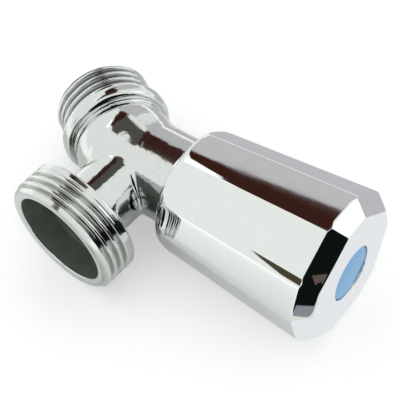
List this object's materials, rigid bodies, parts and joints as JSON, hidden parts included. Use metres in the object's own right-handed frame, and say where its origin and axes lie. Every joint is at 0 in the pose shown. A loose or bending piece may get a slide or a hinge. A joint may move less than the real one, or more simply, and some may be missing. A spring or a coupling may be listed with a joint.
{
  "type": "washing machine valve",
  "caption": "Chromed angle valve for a washing machine hose: threaded inlet and wider threaded outlet on a Y-shaped body, with a long faceted knob and blue index cap.",
  "frame": {"origin": "on the inlet's axis, at the shoulder where the inlet thread starts", "axes": "+Y out along the inlet, +Z square to the plane of the inlet, neck and outlet axes, +X to the knob's side"},
  "size_m": [0.0655, 0.0709, 0.0316],
  "materials": {
    "plated_brass": "bright chrome plate over a cast surface",
    "plated_knob": "mirror chrome plate over moulded plastic",
    "raw_brass": "turned",
    "black_rubber": "smooth",
    "fibre": "matt pressed fibre",
    "white_plastic": "smooth",
    "spring_steel": "bright",
    "blue_plastic": "smooth moulded"
  },
  "bodies": {
    "body": {"valve_body": "plated_brass", "headwork_housing": "raw_brass", "headwork_gasket": "fibre"},
    "knob": {"knob_shell": "plated_knob", "knob_screw": "spring_steel", "index_cap": "blue_plastic", "spindle": "raw_brass", "spindle_o_rings": "black_rubber", "thrust_washer": "white_plastic", "spindle_clip": "spring_steel"},
    "plunger": {"plunger": "raw_brass", "plunger_o_ring": "black_rubber", "valve_washer": "black_rubber", "washer_screw": "raw_brass"}
  },
  "joints": [
    {"name": "knob_turn", "type": "hinge", "parent": "body", "child": "knob", "pos_m": [0.01675, -0.03881, 0], "axis": [0.5, -0.866, 0], "range_deg": [0, 1080]},
    {"name": "plunger_lift", "type": "slide", "parent": "body", "child": "plunger", "axis": [0.5, -0.866, 0], "range_m": [0, 0.0045]}
  ],
  "couplings": [
    {"joint": "plunger_lift", "follows": "knob_turn", "m_per_rad": 0.00023873}
  ]
}
